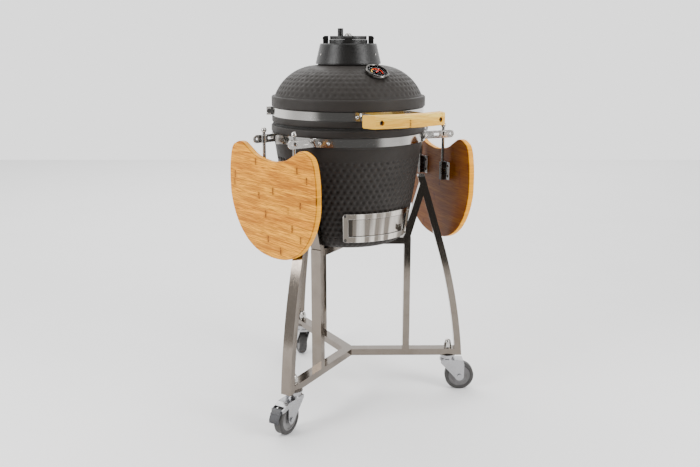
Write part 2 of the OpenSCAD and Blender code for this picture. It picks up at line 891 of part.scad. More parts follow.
module vent_disc() {
    color(iron) difference() {
        union() {
            translate([0, 0, disc_z]) cylinder(r = 47, h = 9, $fn = 96);
            translate([0, 0, disc_z + 8]) cylinder(r = 11, h = 2.4);
        }
        rotate([0, 0, 36]) daisy(disc_z - 5, 30);
        translate([0, 0, disc_z - 5]) cylinder(r = 3.05, h = 30);
        translate([-17.2, 10.2, disc_z + 4]) cylinder(r = 3, h = 10);
    }
}

module vent_post() {
    color(iron) translate([-17.2, 10.2, disc_z]) {
        translate([0, 0, 4.5]) cylinder(r = 2.95, h = 6);
        translate([0, 0, 9.05]) cylinder(r = 7.3, h = 18.3);
        translate([0, 0, 27.3]) cylinder(r = 6.6, h = 0.9);
    }
}

module vent_pivot() {
    color(bright) {
        translate([0, 0, vent_top - 8]) cylinder(r = 2.99, h = disc_z + 20 - vent_top);
        intersection() {
            translate([0, 0, disc_z + 8.9]) sphere(r = 9);
            translate([-10, -10, disc_z + 10.9]) cube([20, 20, 20]);
        }
        translate([0, 0, vent_top - 12]) cylinder(r = 6.5, h = 5.6, $fn = 6);
    }
}

// ---- thermometer ----

module thermometer_case() {
    color(black) at_thermometer() {
        difference() {
            translate([0, 0, 0.3]) cylinder(r = 28, h = 5.2);
            translate([0, 0, 1.8]) cylinder(r = 26.4, h = 5);
        }
        translate([0, 0, -42]) cylinder(r = 3, h = 43);
    }
}

module thermometer_bezel() {
    color(bright) at_thermometer() rotate_extrude($fn = 96)
        polygon([[28.05, 1.4], [29.5, 1.4], [30, 2], [30, 5.6], [28.6, 7.4], [26, 7.4],
            [25, 6.4], [25, 5.7], [28.05, 5.7]]);
}

module thermometer_dial() {
    color(black) at_thermometer() {
        translate([0, 0, 1.9]) cylinder(r = 26.2, h = 0.7);
        cylinder_at(0.9, 2.5, 1.6);
    }
}

module cylinder_at(r, z, h) {
    translate([0, 0, z]) cylinder(r = r, h = h);
}

module thermometer_lens() {
    color([0.8, 0.85, 0.85, 0.4]) at_thermometer() cylinder_at(26.2, 4.6, 1);
}

module thermometer_needle() {
    color([0.75, 0.12, 0.08]) at_thermometer() difference() {
        union() {
            cylinder_at(2.6, 3, 0.9);
            rotate([0, 0, 135]) translate([-6, -0.7, 3.1]) cube([24, 1.4, 0.6]);
        }
        cylinder_at(0.95, 2, 4);
    }
}

// ---- side shelves ----

// corner points of the upper half outline from the middle hollow to the widest point: [along, height]
shelf_half = [[0, 669], [26, 671], [51, 675], [72, 681], [86, 688], [107, 699], [120, 705],
    [133, 707], [146, 705], [158, 700], [168, 695], [178, 678], [184, 652], [187.5, 625]];

module board_outline() {
    top = [for (p = shelf_half) [p[0] * 0.995, p[1]]];
    low = [for (a = [8:8:88]) [188 * pow(cos(a), 0.86), 600 - (600 - board_bot) * pow(sin(a), 1.02)]];
    half = concat(top, low);
    last = len(half) - 1;
    polygon(concat(half, [[0, board_bot]], [for (k = [last:-1:1]) [-half[k][0], half[k][1]]]));
}

module board(reach) {
    rotate([90, 0, 90]) translate([shelf_shift, 0, reach - board_t]) difference() {
        linear_extrude(board_t) board_outline();
        for (side = [-1, 1], x = [-13, 13], z = [603, 630])
            translate([side * rod_half + x, z, -1]) cylinder(r = 1.9, h = 12);
    }
}

module rods(reach) {
    for (side = [-1, 1])
        translate([reach - board_t - rod_gap, shelf_shift + side * rod_half, 0]) {
            translate([0, 0, 593]) cylinder(r = rod_r, h = pivot_z + 16 - 593);
            translate([0, 0, pivot_z + 22]) sphere(r = 7);
        }
}

// barrel round the rod with a headed pin through the arm
module eyes(reach) {
    for (side = [-1, 1])
        translate([reach - board_t - rod_gap, shelf_shift + side * rod_half, pivot_z]) {
            difference() {
                union() {
                    translate([0, 0, -9]) cylinder(r = 8, h = 18);
                    rotate([0, 0, side * 90]) rod_x(3, 17.6);
                    rotate([0, 0, side * 90]) translate([12.5, 0, 0]) rod_x(6.5, 4.5);
                }
                translate([0, 0, -20]) cylinder(r = rod_r + 0.05, h = 40);
            }
        }
}

module rod_clamps(reach) {
    for (side = [-1, 1])
        translate([reach - board_t, shelf_shift + side * rod_half, 593])
            difference() {
                union() {
                    translate([-2, -17.5, 0]) cube([2, 35, 47]);
                    translate([-18, -6.5, 0]) cube([18, 13, 47]);
                }
                translate([-16.2, -4.2, -1]) cube([20, 8.4, 49]);
                for (y = [-13, 13], z = [10, 37]) translate([-5, y, z]) rod_x(2, 10);
            }
}

module clamp_screws(reach) {
    for (side = [-1, 1], y = [-13, 13], z = [603, 630])
        translate([reach - board_t, shelf_shift + side * rod_half + y, z])
            mirror([1, 0, 0]) translate([-10, 0, 0]) pan_x(12, 1.8);
}

module left_board() { color(bamboo) at_left() board(left_reach); }
module left_rods() { color(bright) at_left() rods(left_reach); }
module left_eyes() { color(bright) at_left() eyes(left_reach); }
module left_rod_clamps() { color(iron) at_left() rod_clamps(left_reach); }
module left_clamp_screws() { color(bright) at_left() clamp_screws(left_reach); }
module right_board() { color(bamboo) at_right() board(right_reach); }
module right_rods() { color(bright) at_right() rods(right_reach); }
module right_eyes() { color(bright) at_right() eyes(right_reach); }
module right_rod_clamps() { color(iron) at_right() rod_clamps(right_reach); }
module right_clamp_screws() { color(bright) at_right() clamp_screws(right_reach); }

leg_front_left();
leg_front_right();
leg_back();
leg_top_caps();
caster_stems();
caster_nuts();
bowl();
bowl_gasket();
fire_box();
fire_ring();
charcoal_grate();
cooking_grid();
bowl_band();
bowl_band_bolts();
shelf_arms();
shelf_arm_bolts();
draft_frame();
draft_frame_screws();
draft_screen();
draft_door();
hinge_lower_bracket();
hinge_pin();
dome();
dome_gasket();
dome_band();
dome_band_bolts();
hinge_upper_bracket();
handle_bar();
handle_brackets();
handle_screws();
vent_chimney();
vent_screws();
vent_disc();
vent_post();
vent_pivot();
thermometer_case();
thermometer_bezel();
thermometer_dial();
thermometer_lens();
thermometer_needle();
left_board();
left_rods();
left_eyes();
left_rod_clamps();
left_clamp_screws();
right_board();
right_rods();
right_eyes();
right_rod_clamps();
right_clamp_screws();
fork_front_left();
wheel_front_left();
tyre_front_left();
fork_front_right();
wheel_front_right();
tyre_front_right();
fork_back();
wheel_back();
tyre_back();
brake_front_left();
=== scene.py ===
"""Kamado ceramic grill: materials, dimpled ceramic, bamboo boards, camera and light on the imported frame."""

import json
import math

import bpy
import numpy as np
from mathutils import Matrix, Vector


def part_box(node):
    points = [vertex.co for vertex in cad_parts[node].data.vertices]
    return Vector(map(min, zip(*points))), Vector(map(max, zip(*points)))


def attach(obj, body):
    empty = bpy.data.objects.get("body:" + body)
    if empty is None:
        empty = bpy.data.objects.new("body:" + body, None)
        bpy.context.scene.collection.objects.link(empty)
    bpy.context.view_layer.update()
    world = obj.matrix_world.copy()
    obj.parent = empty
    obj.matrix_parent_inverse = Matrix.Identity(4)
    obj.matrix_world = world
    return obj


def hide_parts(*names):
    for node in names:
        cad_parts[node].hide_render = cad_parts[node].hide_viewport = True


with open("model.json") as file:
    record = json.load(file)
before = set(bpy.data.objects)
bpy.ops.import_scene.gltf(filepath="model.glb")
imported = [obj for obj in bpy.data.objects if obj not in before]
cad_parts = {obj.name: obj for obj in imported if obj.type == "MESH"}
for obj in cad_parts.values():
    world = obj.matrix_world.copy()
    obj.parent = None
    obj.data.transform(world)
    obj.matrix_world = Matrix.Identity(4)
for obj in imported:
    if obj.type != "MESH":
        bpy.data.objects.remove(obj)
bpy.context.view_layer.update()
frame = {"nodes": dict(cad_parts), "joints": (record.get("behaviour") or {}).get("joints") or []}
nodes = frame["nodes"]
MM = 0.001


# ---------------------------------------------------------------- material graphs


def times(colour, factor):
    """A colour made lighter or darker, with no channel past 1."""
    return tuple(min(1.0, c * factor) for c in colour)


class Graph:
    """A Principled material whose colour, roughness and bump come from procedural nodes."""

    def __init__(self, name, metallic=0.0, roughness=0.5, specular=0.5, coat=0.0):
        self.mat = bpy.data.materials.new(name)
        self.mat.use_nodes = True
        self.tree = self.mat.node_tree
        self.tree.nodes.clear()
        out = self.tree.nodes.new("ShaderNodeOutputMaterial")
        self.bsdf = self.tree.nodes.new("ShaderNodeBsdfPrincipled")
        self.tree.links.new(self.bsdf.outputs[0], out.inputs[0])
        self.bsdf.inputs["Metallic"].default_value = metallic
        self.bsdf.inputs["Roughness"].default_value = roughness
        self.bsdf.inputs["Specular IOR Level"].default_value = specular
        self.bsdf.inputs["Coat Weight"].default_value = coat
        self.coords = self.node("ShaderNodeTexCoord").outputs["Object"]

    def node(self, kind, inputs=(), **props):
        n = self.tree.nodes.new(kind)
        for key, value in props.items():
            setattr(n, key, value)
        for key, value in dict(inputs).items():
            self.put(n.inputs[key], value)
        return n

    def put(self, socket, value):
        if isinstance(value, bpy.types.NodeSocket):
            self.tree.links.new(value, socket)
        else:
            socket.default_value = value

    def math(self, operation, a, b=0.0):
        return self.node("ShaderNodeMath", {0: a, 1: b}, operation=operation).outputs[0]

    def add(self, a, b):
        return self.math("ADD", a, b)

    def mul(self, a, b):
        return self.math("MULTIPLY", a, b)

    def away(self, a, middle):
        """How far a is from a middle value, on either side."""
        return self.math("ABSOLUTE", self.math("SUBTRACT", a, middle))

    def length(self, x, y):
        return self.math("SQRT", self.add(self.mul(x, x), self.mul(y, y)))

    def split(self):
        return self.node("ShaderNodeSeparateXYZ", {0: self.coords}).outputs

    def join(self, x, y, z):
        return self.node("ShaderNodeCombineXYZ", {0: x, 1: y, 2: z}).outputs[0]

    def vector(self, operation, other, vector=None):
        return self.node("ShaderNodeVectorMath", {0: vector or self.coords, 1: other}, operation=operation)

    def dot(self, direction, vector=None):
        return self.vector("DOT_PRODUCT", direction, vector).outputs["Value"]

    def normal(self):
        return self.node("ShaderNodeNewGeometry").outputs["Normal"]

    def noise(self, scale, detail=3.0, rough=0.5, vector=None, distortion=0.0):
        n = self.node(
            "ShaderNodeTexNoise",
            {
                "Vector": vector or self.coords, "Scale": scale, "Detail": detail,
                "Roughness": rough, "Distortion": distortion,
            },
        )
        return n.outputs["Fac"]

    def ramp(self, fac, stops):
        n = self.node("ShaderNodeValToRGB", {0: fac})
        while len(n.color_ramp.elements) < len(stops):
            n.color_ramp.elements.new(0.5)
        for element, (place, colour) in zip(n.color_ramp.elements, stops):
            element.position = place
            element.color = (*colour, 1.0)
        return n.outputs[0]

    def span(self, fac, low, high, to_low=0.0, to_high=1.0):
        """fac mapped from low..high to to_low..to_high, clamped."""
        return self.node("ShaderNodeMapRange", {0: fac, 1: low, 2: high, 3: to_low, 4: to_high}).outputs[0]

    def mix(self, fac, a, b):
        n = self.node("ShaderNodeMix", data_type="RGBA", blend_type="MIX")
        for socket, value in ((n.inputs[0], fac), (n.inputs[6], a), (n.inputs[7], b)):
            if isinstance(value, tuple) and len(value) == 3:
                value = (*value, 1.0)
            self.put(socket, value)
        return n.outputs[2]

    def edge(self, radius, strength):
        """Up to strength along edges, 0 on flat faces: wear on the cast iron and plain surfaces, a painted
        highlight on the steels.
        """
        bevel = self.node("ShaderNodeBevel", {"Radius": radius}, samples=4).outputs[0]
        return self.span(self.dot(self.normal(), bevel), 0.98, 0.75, 0.0, strength)

    def colour(self, value):
        self.put(self.bsdf.inputs["Base Color"], value)

    def rough(self, value):
        self.put(self.bsdf.inputs["Roughness"], value)

    def bump(self, height, distance, strength=1.0):
        n = self.node("ShaderNodeBump", {"Height": height, "Distance": distance, "Strength": strength})
        self.put(self.bsdf.inputs["Normal"], n.outputs[0])


# ---------------------------------------------------------------- materials


def ceramic(name, base, light, roughness):
    """Matt glaze: soft clouds of two tones with fine lighter specks."""
    g = Graph(name, roughness=roughness, specular=0.19)
    cloud = g.noise(9.0, 4.0, 0.55)
    speck = g.noise(900.0, 2.0, 0.6)
    tone = g.mix(g.span(cloud, 0.35, 0.68), base, light)
    g.colour(g.mix(g.span(speck, 0.42, 0.75, 0.0, 0.35), tone, times(light, 1.7)))
    g.rough(g.span(g.noise(60.0, 3.0), 0.3, 0.7, roughness - 0.07, roughness + 0.08))
    g.bump(g.noise(1400.0, 2.0, 0.6), 0.00012, 0.5)
    return g.mat


DIRT = (0.45, 0.38, 0.30)  # how a stain darkens each channel of bare steel


def steel(name, colour, roughness, stretch, scratch=0.05, dirt_and_shade=0.25):
    """Brushed or polished steel with fine lines, soft stains and a painted highlight along its edges."""
    g = Graph(name, metallic=1.0, roughness=roughness)
    lines = g.noise(420.0, 3.0, 0.6, vector=g.vector("MULTIPLY", stretch).outputs[0])
    stain = g.noise(26.0, 5.0, 0.6)
    stained = tuple(c * d for c, d in zip(colour, DIRT))
    base = g.mix(g.span(stain, 0.45, 0.8, 0.0, dirt_and_shade), colour, stained)
    base = g.mix(g.span(lines, 0.3, 0.7, 0.0, 0.22), base, times(colour, 1.12))
    # painted highlight: a lighter colour along the edges
    g.colour(g.mix(g.edge(0.0008, 0.5), base, times(colour, 1.25)))
    brushed = g.span(lines, 0.25, 0.75, roughness - scratch, roughness + scratch)
    g.rough(g.add(brushed, g.span(stain, 0.4, 0.8, 0.0, 0.08)))
    g.bump(lines, 0.00003, 0.35)
    return g.mat


def band_steel(name, colour, roughness, lug_r):
    """Polished band with lines round the bowl, and lighter, duller lugs beyond the radius lug_r."""
    g = Graph(name, metallic=1.0, roughness=roughness)
    x, y, z = g.split()
    around = g.join(g.mul(g.math("ARCTAN2", x, y), 1.2), g.mul(z, 900.0), 0.0)
    lines = g.noise(1.0, 4.0, 0.7, vector=around)
    smear = g.noise(14.0, 4.0, 0.6)
    lug = g.span(g.length(x, y), lug_r, lug_r + 2.0 * MM)
    base = g.mix(g.span(smear, 0.4, 0.75, 0.0, 0.3), colour, times(colour, 0.8))
    g.colour(g.mix(lug, base, (0.9, 0.88, 0.85)))
    g.rough(g.add(g.span(lines, 0.3, 0.7, roughness - 0.05, roughness + 0.09), g.mul(lug, 0.35)))
    g.bump(lines, 0.00004, 0.5)
    return g.mat


WINDOW_EDGE = (0.455, 0.478)  # radians from the front over which painted shade grows beside the door's window


def door_steel(name, colour, roughness, window=None):
    """Thin pressed steel: brushed upright, with painted dark reflection bands across its width and a painted
    highlight along its edges.

    window = (middle height, half height) puts painted shade where the frame laps over the door.
    """
    g = Graph(name, metallic=1.0, roughness=roughness)
    x, y, z = g.split()
    around = g.math("ARCTAN2", x, g.mul(y, -1.0))
    brush = g.noise(1.0, 3.0, 0.65, vector=g.join(g.mul(around, 130.0), g.mul(z, 7.0), 0.0))
    # painted reflection: soft dark brown bands across the width
    shade = g.noise(1.0, 2.0, 0.5, vector=g.join(g.mul(around, 9.0), g.mul(z, 3.0), 4.0))
    base = g.mix(g.span(shade, 0.42, 0.60, 0.0, 0.9), colour, (0.09, 0.075, 0.06))
    base = g.mix(g.span(brush, 0.4, 0.7, 0.0, 0.35), base, (0.24, 0.215, 0.19))
    if window:
        middle, half = window
        # painted shade where the frame laps over the door's window
        above = g.span(g.away(z, middle), half - 3.0 * MM, half - 0.5 * MM)
        beside = g.span(g.math("ABSOLUTE", around), *WINDOW_EDGE)
        dirt_and_shade = g.math("MAXIMUM", above, beside)
        base = g.mix(g.mul(dirt_and_shade, 0.85), base, (0.02, 0.017, 0.014))
    # painted highlight: near white along the edges
    g.colour(g.mix(g.edge(0.0012, 0.9), base, (0.95, 0.93, 0.9)))
    g.rough(g.span(brush, 0.3, 0.7, roughness - 0.06, roughness + 0.1))
    g.bump(brush, 0.00008, 0.5)
    return g.mat


def clamp_steel(name, outward, plate_depth):
    """Zinc clamp painted lit and shaded: a near-white plate against the board as a painted highlight, a
    near-black channel folded up from it as painted shade.
    """
    g = Graph(name, metallic=1.0, roughness=0.3)
    plate = g.span(g.dot(tuple(outward)), plate_depth - 0.4 * MM, plate_depth)
    g.put(g.bsdf.inputs["Metallic"], g.span(plate, 0.0, 1.0, 1.0, 0.35))
    wear = g.noise(70.0, 4.0, 0.6)
    # painted shade: near black on the channel; painted highlight: near white on the plate
    dark = g.mix(g.span(wear, 0.4, 0.7), (0.05, 0.047, 0.044), (0.12, 0.113, 0.105))
    zinc = g.mix(g.span(wear, 0.35, 0.7), (0.92, 0.91, 0.90), (0.72, 0.71, 0.70))
    base = g.mix(plate, dark, zinc)
    g.colour(g.mix(g.edge(0.0008, 0.5), base, (0.8, 0.79, 0.77)))
    g.rough(g.add(g.span(wear, 0.3, 0.7, 0.22, 0.34), g.mul(plate, 0.25)))
    g.bump(g.noise(600.0, 3.0), 0.00005, 0.5)
    return g.mat


def cast(name, base, light, roughness):
    """Black cast iron with a sandy skin and lighter rubbed edges."""
    g = Graph(name, roughness=roughness, specular=0.35)
    sand = g.noise(520.0, 3.0, 0.65)
    cloud = g.noise(24.0, 4.0)
    tone = g.mix(g.span(cloud, 0.35, 0.7), base, light)
    g.colour(g.mix(g.edge(0.0012, 0.6), tone, times(light, 2.6)))
    g.rough(g.span(sand, 0.3, 0.7, roughness - 0.14, roughness + 0.1))
    g.bump(sand, 0.0005, 0.9)
    return g.mat


NODE_PITCH = 0.175  # distance between the node marks of one bamboo strip
PAINTED_INNER_SHADE = (0.112, 0.021, 0.0004)  # painted shade on a board's face on the bowl's side


def bamboo(name, along, across, tones, lamella, inward=None, end_grain=False):
    """Laminated bamboo: strips across one direction, fibres along the other, dark node marks on some strips.

    inward is the direction of the face that gets painted shade; with it the board's sides get painted light
    and its rounded edge a painted shade line. end_grain puts pores on the two ends.
    """
    light, mid, dark = tones
    g = Graph(name, roughness=0.42, specular=0.12, coat=0.01)
    g.bsdf.inputs["Coat Roughness"].default_value = 0.25
    u = g.dot(along)
    v = g.dot(across)
    waver = g.mul(g.math("SUBTRACT", g.noise(9.0, 3.0), 0.5), 0.007)
    strip = g.math("DIVIDE", g.add(v, waver), lamella)
    index = g.math("FLOOR", strip)
    from_middle = g.away(g.math("FRACT", strip), 0.5)
    pick = g.node("ShaderNodeTexWhiteNoise", {"W": index}, noise_dimensions="1D").outputs[0]
    shift = g.mul(index, 7.3)

    def grain(long, cross, detail):
        """Noise drawn out along the fibres, different on every strip."""
        return g.noise(1.0, detail, 0.65, vector=g.join(g.mul(u, long), g.mul(v, cross), shift))

    fibre = grain(30.0, 1100.0, 4.0)
    streak = grain(20.0, 520.0, 4.0)
    sweep = grain(6.0, 70.0, 3.0)
    base = g.mix(g.span(pick, 0.1, 0.9, 0.0, 0.9), light, mid)
    base = g.mix(g.span(sweep, 0.42, 0.64, 0.0, 0.7), base, dark)
    base = g.mix(g.span(sweep, 0.5, 0.3, 0.0, 0.7), base, light)
    base = g.mix(g.span(streak, 0.44, 0.62, 0.0, 0.9), base, dark)
    base = g.mix(g.span(fibre, 0.5, 0.75, 0.0, 0.6), base, times(dark, 0.6))
    base = g.mix(g.span(from_middle, 0.475, 0.5, 0.0, 0.3), base, times(dark, 0.6))

    # node marks: a ragged dark bar at a place of its own on half of the strips, with a brown halo
    place = g.math("DIVIDE", g.add(u, g.mul(pick, NODE_PITCH * 7.0)), NODE_PITCH)
    cell = g.join(index, g.math("FLOOR", place), 0.0)
    chance = g.node("ShaderNodeTexWhiteNoise", {"Vector": cell}, noise_dimensions="2D").outputs[0]
    ragged = g.mul(g.math("SUBTRACT", g.noise(300.0, 3.0, 0.7), 0.5), 0.045)
    knot = g.add(g.away(g.math("FRACT", place), 0.5), ragged)
    bar = g.span(knot, 0.006, 0.020, 1.0, 0.0)
    halo = g.span(knot, 0.012, 0.070, 1.0, 0.0)
    present = g.mul(g.span(from_middle, 0.38, 0.47, 1.0, 0.0), g.span(chance, 0.5, 0.54))
    dots = g.span(g.noise(210.0, 2.0), 0.36, 0.52, 0.1, 1.0)
    base = g.mix(g.mul(g.mul(halo, present), 0.45), base, dark)
    base = g.mix(g.mul(g.mul(bar, present), dots), base, times(dark, 0.3))

    if inward is not None:
        facing = g.dot(tuple(inward), g.normal())
        tilt = g.math("ABSOLUTE", facing)
        # painted light: a lighter colour on the board's sides
        base = g.mix(g.span(tilt, 0.55, 0.25, 0.0, 0.55), base, light)
        # painted shade: a dark line along the rounded edge
        base = g.mix(g.span(g.away(tilt, 0.86), 0.02, 0.13, 0.7, 0.0), base, times(dark, 0.35))
        # painted shade: dark brown over the face towards the bowl
        base = g.mix(g.span(facing, 0.5, 0.95, 0.0, 0.85), base, PAINTED_INNER_SHADE)
    if end_grain:
        facing = g.math("ABSOLUTE", g.dot(along, g.normal()))
        pores = g.mix(g.span(g.noise(900.0, 3.0), 0.35, 0.65), times(mid, 0.9), dark)
        base = g.mix(g.span(facing, 0.72, 0.88, 0.0, 0.85), base, pores)
    g.colour(base)
    g.rough(g.span(streak, 0.3, 0.7, 0.36, 0.5))
    g.bump(g.add(fibre, g.mul(bar, -0.4)), 0.00012, 0.5)
    return g.mat


def plain(name, base, other, roughness, scale, grain, depth, coat=0.0):
    """A moulded, painted or fired surface: two tones, fine grain and lighter worn edges."""
    g = Graph(name, roughness=roughness, coat=coat)
    tone = g.mix(g.span(g.noise(scale, 4.0), 0.35, 0.7), base, other)
    g.colour(g.mix(g.edge(0.0006, 0.35), tone, times(other, 1.6)))
    fine = g.noise(grain, 3.0, 0.6)
    g.rough(g.span(fine, 0.3, 0.7, roughness - 0.08, roughness + 0.08))
    g.bump(fine, depth, 0.6)
    return g.mat


def tyre_rubber(name):
    """Grey rubber with lighter dust in the grain."""
    g = Graph(name, roughness=0.62)
    dust = g.noise(75.0, 4.0, 0.6)
    g.colour(g.mix(g.span(dust, 0.4, 0.72), (0.035, 0.033, 0.032), (0.065, 0.061, 0.058)))
    g.rough(g.span(dust, 0.3, 0.7, 0.55, 0.72))
    g.bump(g.noise(1500.0, 2.0), 0.00008, 0.5)
    return g.mat


def felt_fibre(name):
    """Black felt of short tangled hair."""
    g = Graph(name, roughness=0.95, specular=0.2)
    hair = g.noise(1600.0, 4.0, 0.7, distortion=1.5)
    g.colour(g.mix(g.span(hair, 0.35, 0.7), (0.008, 0.008, 0.008), (0.035, 0.033, 0.03)))
    g.bsdf.inputs["Sheen Weight"].default_value = 0.15
    g.bump(hair, 0.0005, 0.9)
    return g.mat


HEAT_R, HEAT_IN, HEAT_OUT = 14.0 * MM, 1.3 * MM, 1.7 * MM  # the coloured arc and its half widths
MARK_R, MARK_IN, MARK_OUT = 20.8 * MM, 1.2 * MM, 1.6 * MM  # the ring of graduation marks
HEAT_TONES = [
    (0.0, (0.85, 0.62, 0.12)),
    (0.22, (0.85, 0.45, 0.05)),
    (0.42, (0.85, 0.06, 0.01)),
    (1.0, (0.80, 0.02, 0.01)),
]


def dial_print(name, centre, normal, up):
    """Black dial with an arc that runs from yellow to red inside a ring of graduation marks."""
    side = up.cross(normal).normalized()
    g = Graph(name, roughness=0.6, specular=0.0)
    local = g.vector("SUBTRACT", tuple(centre)).outputs[0]
    x = g.dot(tuple(side), local)
    y = g.dot(tuple(up), local)
    r = g.length(x, y)
    turn = g.math("DIVIDE", g.math("ARCTAN2", x, y), math.pi)  # -1..1, 0 at the top, grows clockwise
    inside = g.span(g.away(r, HEAT_R), HEAT_IN, HEAT_OUT, 1.0, 0.0)
    swept = g.span(g.away(turn, 0.08), 0.60, 0.61, 1.0, 0.0)
    arc = g.mul(inside, swept)
    heat = g.ramp(g.span(turn, -0.55, 0.6), HEAT_TONES)
    marks = g.span(g.away(g.math("FRACT", g.mul(turn, 20.0)), 0.5), 0.42, 0.45)
    scale = g.mul(marks, g.span(g.away(r, MARK_R), MARK_IN, MARK_OUT, 1.0, 0.0))
    face = g.mix(g.span(g.noise(800.0), 0.3, 0.7), (0.010, 0.010, 0.011), (0.022, 0.021, 0.022))
    face = g.mix(g.mul(scale, 0.7), face, (0.65, 0.63, 0.6))
    g.colour(g.mix(arc, face, heat))
    g.rough(g.span(g.noise(900.0), 0.3, 0.7, 0.55, 0.7))
    g.bump(g.add(g.noise(1200.0), g.mul(arc, 0.6)), 0.00005, 0.5)
    return g.mat


def clear_glass(name):
    """Thin clear lens with faint smears."""
    g = Graph(name, roughness=0.03, specular=0.1)
    g.bsdf.inputs["Transmission Weight"].default_value = 1.0
    g.bsdf.inputs["IOR"].default_value = 1.04
    g.colour(g.mix(g.span(g.noise(40.0), 0.3, 0.7), (0.97, 0.99, 0.99), (0.93, 0.95, 0.95)))
    g.rough(g.span(g.noise(30.0, 4.0), 0.45, 0.75, 0.02, 0.10))
    return g.mat


# ---------------------------------------------------------------- places the materials need


def turned(angle):
    """Outward and sideways directions at an angle from the front, in degrees."""
    a = math.radians(angle)
    return Vector((math.sin(a), -math.cos(a), 0.0)), Vector((math.cos(a), math.sin(a), 0.0))


def far_side(node, outward):
    """The largest distance of a node's points along a direction."""
    return max(Vector(v.co).dot(outward) for v in nodes[node].data.vertices)


SHELF_ANGLE = 81.0
CLAMP_PLATE = 2.2 * MM
WINDOW_LAP = 4.0 * MM
UP = Vector((0.0, 0.0, 1.0))

out_left, along_left = turned(-SHELF_ANGLE)
out_right, along_right = turned(SHELF_ANGLE)
clamp_left_face = far_side("left_rod_clamps", out_left) - CLAMP_PLATE
clamp_right_face = far_side("right_rod_clamps", out_right) - CLAMP_PLATE

needle_joint = next(j for j in frame["joints"] if j["name"] == "needle_turn")
dial_centre = Vector(needle_joint["pos_m"])
dial_normal = Vector(needle_joint["axis"]).normalized()
dial_up = (UP - dial_normal * dial_normal.z).normalized()

door_low, door_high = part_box("draft_door")
door_window = ((door_low.z + door_high.z) / 2, (door_high.z - door_low.z) / 2 - WINDOW_LAP)

BOARD_TONES = ((1.0, 0.45, 0.016), (0.86, 0.33, 0.006), (0.36, 0.098, 0.002))
BAR_TONES = ((1.0, 0.72, 0.16), (0.98, 0.62, 0.09), (0.74, 0.34, 0.03))
BOARD_LAMELLA, BAR_LAMELLA = 21.0 * MM, 26.0 * MM
BAR_ACROSS = (0.0, 0.35, 1.0)

MATERIALS = {
    "tube": steel("stainless_tube", (0.185, 0.160, 0.136), 0.1, (1.0, 1.0, 0.08), dirt_and_shade=0.35),
    "bright": steel("bright_steel", (0.48, 0.465, 0.445), 0.18, (1.0, 1.0, 0.4)),
    "dark_steel": steel("dark_steel", (0.10, 0.094, 0.088), 0.16, (1.0, 1.0, 0.5), dirt_and_shade=0.1),
    "zinc": steel("zinc_plate", (0.36, 0.36, 0.37), 0.24, (1.0, 1.0, 1.0), scratch=0.07),
    "band": band_steel("band_steel", (0.56, 0.545, 0.52), 0.11, 0.2),
    "frame": door_steel("frame_steel", (0.62, 0.585, 0.53), 0.14),
    "door": door_steel("door_steel", (0.50, 0.47, 0.43), 0.2, door_window),
    "clamp_left": clamp_steel("clamp_left", out_left, clamp_left_face),
    "clamp_right": clamp_steel("clamp_right", out_right, clamp_right_face),
    "ceramic": ceramic("ceramic_dark", (0.0215, 0.0186, 0.0166), (0.0285, 0.0250, 0.0224), 0.55),
    "clay": plain("fireclay", (0.50, 0.42, 0.32), (0.62, 0.54, 0.43), 0.85, 30.0, 700.0, 0.0004),
    "iron": cast("cast_iron_black", (0.007, 0.0066, 0.0062), (0.014, 0.013, 0.0122), 0.36),
    "felt": felt_fibre("gasket_felt"),
    "black": plain(
        "black_enamel", (0.012, 0.012, 0.012), (0.022, 0.021, 0.020), 0.34, 60.0, 900.0, 0.00005, coat=0.3
    ),
    "tyre": tyre_rubber("tyre_rubber"),
    "wheel": plain("wheel_plastic", (0.125, 0.12, 0.12), (0.18, 0.176, 0.176), 0.42, 40.0, 900.0, 0.00006),
    "pedal": plain("pedal_plastic", (0.018, 0.018, 0.022), (0.035, 0.035, 0.04), 0.4, 50.0, 1100.0, 0.0001),
    "needle": plain("needle_red", (0.80, 0.02, 0.01), (0.90, 0.04, 0.02), 0.4, 300.0, 900.0, 0.00003),
    "dial": dial_print("dial_print", dial_centre, dial_normal, dial_up),
    "glass": clear_glass("lens_glass"),
    "board_left": bamboo(
        "bamboo_board_left", tuple(along_left), tuple(UP), BOARD_TONES, BOARD_LAMELLA, inward=-out_left
    ),
    "board_right": bamboo(
        "bamboo_board_right", tuple(along_right), tuple(UP), BOARD_TONES, BOARD_LAMELLA, inward=-out_right
    ),
    "bar": bamboo("bamboo_bar", (1.0, 0.0, 0.0), BAR_ACROSS, BAR_TONES, BAR_LAMELLA, end_grain=True),
}

